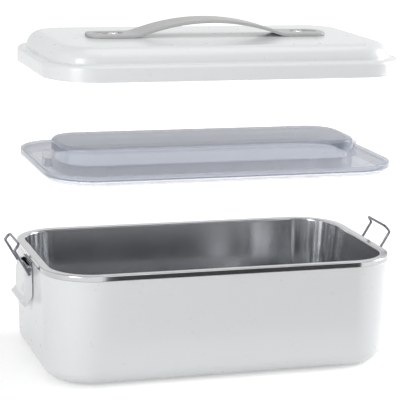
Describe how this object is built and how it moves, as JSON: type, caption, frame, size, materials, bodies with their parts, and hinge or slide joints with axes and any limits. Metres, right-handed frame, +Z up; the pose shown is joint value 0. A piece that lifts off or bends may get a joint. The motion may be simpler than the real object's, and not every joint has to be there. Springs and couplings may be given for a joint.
{
  "type": "electric lunch box",
  "caption": "Heated lunch box: steel tray in a white case with wire latches, clear vented inner cover and lift-off lid with a strap handle.",
  "frame": {"origin": "centre of the footprint, on the surface that the box stands on", "axes": "+Z up, X along the length, -Y towards the front face"},
  "size_m": [0.2674, 0.138, 0.2302],
  "materials": {
    "white_plastic": "smooth semi-gloss",
    "tray_steel": "polished",
    "latch_steel": "polished wire",
    "screw_steel": "plated",
    "heater_aluminium": "mill finish",
    "element_film": "heat-proof film",
    "dark_plastic": "moulded",
    "contact_brass": "plated",
    "amber_lens": "translucent",
    "lead_insulation": "silicone sleeve",
    "foot_rubber": "matte",
    "clear_plastic": "clear moulded plastic",
    "clear_silicone": "translucent silicone",
    "strap_grey": "soft-touch silicone strap"
  },
  "bodies": {
    "case": {"outer_shell": "white_plastic", "steel_tray": "tray_steel", "bottom_cover": "white_plastic", "rubber_feet": "foot_rubber", "bottom_screws": "screw_steel", "heat_shield": "heater_aluminium", "heating_plate": "heater_aluminium", "plate_nuts": "screw_steel", "heating_element": "element_film", "element_clamp": "screw_steel", "clamp_screws": "screw_steel", "thermostat": "dark_plastic", "thermal_fuse": "element_film", "power_inlet": "dark_plastic", "inlet_pins": "contact_brass", "indicator_lens": "amber_lens", "indicator_lamp": "amber_lens", "lead_wires": "lead_insulation", "latch_bracket_left": "latch_steel", "latch_bracket_right": "latch_steel", "bracket_rivets_left": "screw_steel", "bracket_rivets_right": "screw_steel", "lever_pin_left": "latch_steel", "lever_pin_right": "latch_steel"},
    "inner_cover": {"clear_cover": "clear_plastic", "cover_gasket": "clear_silicone"},
    "vent_left": {"vent_plug_left": "clear_silicone"},
    "vent_right": {"vent_plug_right": "clear_silicone"},
    "lid": {"lid_shell": "white_plastic", "handle_strap": "strap_grey", "handle_screws": "screw_steel", "handle_washers": "screw_steel", "handle_nuts": "screw_steel"},
    "lever_left": {"latch_lever_left": "white_plastic"},
    "lever_right": {"latch_lever_right": "white_plastic"},
    "bail_left": {"latch_bail_left": "latch_steel"},
    "bail_right": {"latch_bail_right": "latch_steel"}
  },
  "joints": [
    {"name": "cover_lift", "type": "slide", "parent": "case", "child": "inner_cover", "axis": [0, 0, 1], "range_m": [-0.05855, 0]},
    {"name": "lid_lift", "type": "slide", "parent": "inner_cover", "child": "lid", "axis": [0, 0, 1], "range_m": [-0.0643, 0]},
    {"name": "vent_left_lift", "type": "slide", "parent": "inner_cover", "child": "vent_left", "axis": [0, 0, 1], "range_m": [0, 0.003]},
    {"name": "vent_right_lift", "type": "slide", "parent": "inner_cover", "child": "vent_right", "axis": [0, 0, 1], "range_m": [0, 0.003]},
    {"name": "lever_left_turn", "type": "hinge", "parent": "case", "child": "lever_left", "pos_m": [-0.1223, 0, 0.0677], "axis": [0, 1, 0], "range_deg": [0, 55]},
    {"name": "lever_right_turn", "type": "hinge", "parent": "case", "child": "lever_right", "pos_m": [0.1223, 0, 0.0677], "axis": [0, -1, 0], "range_deg": [0, 55]},
    {"name": "bail_left_turn", "type": "hinge", "parent": "lever_left", "child": "bail_left", "pos_m": [-0.1226, 0, 0.0645], "axis": [0, -1, 0], "range_deg": [-30.7, 130]},
    {"name": "bail_right_turn", "type": "hinge", "parent": "lever_right", "child": "bail_right", "pos_m": [0.1226, 0, 0.0645], "axis": [0, 1, 0], "range_deg": [-30.7, 130]}
  ]
}
